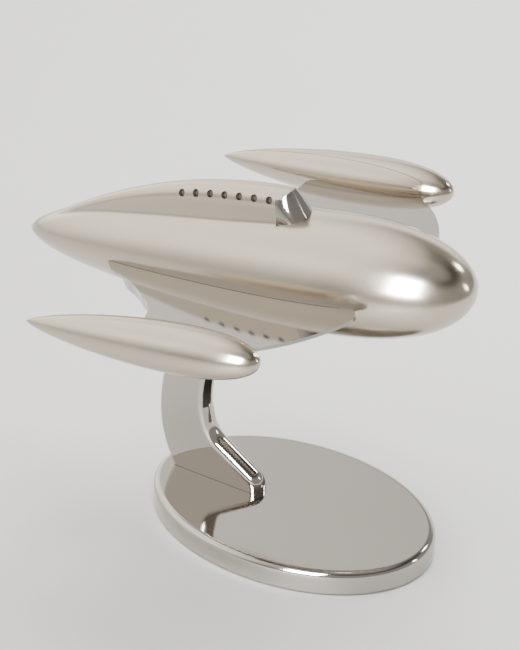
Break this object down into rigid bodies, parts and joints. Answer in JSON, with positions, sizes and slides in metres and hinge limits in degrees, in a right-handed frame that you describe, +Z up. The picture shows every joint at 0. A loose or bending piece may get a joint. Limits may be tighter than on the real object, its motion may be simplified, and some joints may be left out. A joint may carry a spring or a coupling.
{
  "type": "desk sculpture",
  "caption": "Free-standing polished metal sculpture of a streamlined rocket ship with side pods and a windowed cabin, pitched nose-up on a curved pylon over an oval base.",
  "frame": {"origin": "centre of the oval base on the surface that it stands on", "axes": "+X towards the ship's nose, +Y to port, +Z up"},
  "size_m": [0.4384, 0.3432, 0.3415],
  "materials": {
    "satin_nickel": "satin nickel plate over a cast shell, finely brushed",
    "polished_plate": "mirror-polished nickel plate",
    "fastener": "plain zinc-plated steel",
    "spacer": "turned tube",
    "felt": "black pressed felt"
  },
  "bodies": {
    "root": {"base_plate": "polished_plate", "base_felt": "felt", "base_bolts": "fastener", "base_washers": "fastener", "strut": "polished_plate", "wing_plate": "polished_plate", "hull_upper_shell": "satin_nickel", "hull_lower_shell": "satin_nickel", "cabin_spine": "satin_nickel", "windscreen": "polished_plate", "tie_rods": "fastener", "tie_rod_nuts": "fastener", "tie_rod_washers": "fastener", "lower_spacers": "spacer", "upper_spacers": "spacer", "cabin_pins": "fastener", "windscreen_pin": "fastener", "port_pod_shell": "satin_nickel", "port_pod_inner_cap": "polished_plate", "port_pod_pins": "fastener", "starboard_pod_shell": "satin_nickel", "starboard_pod_inner_cap": "polished_plate", "starboard_pod_pins": "fastener"}
  },
  "joints": []
}
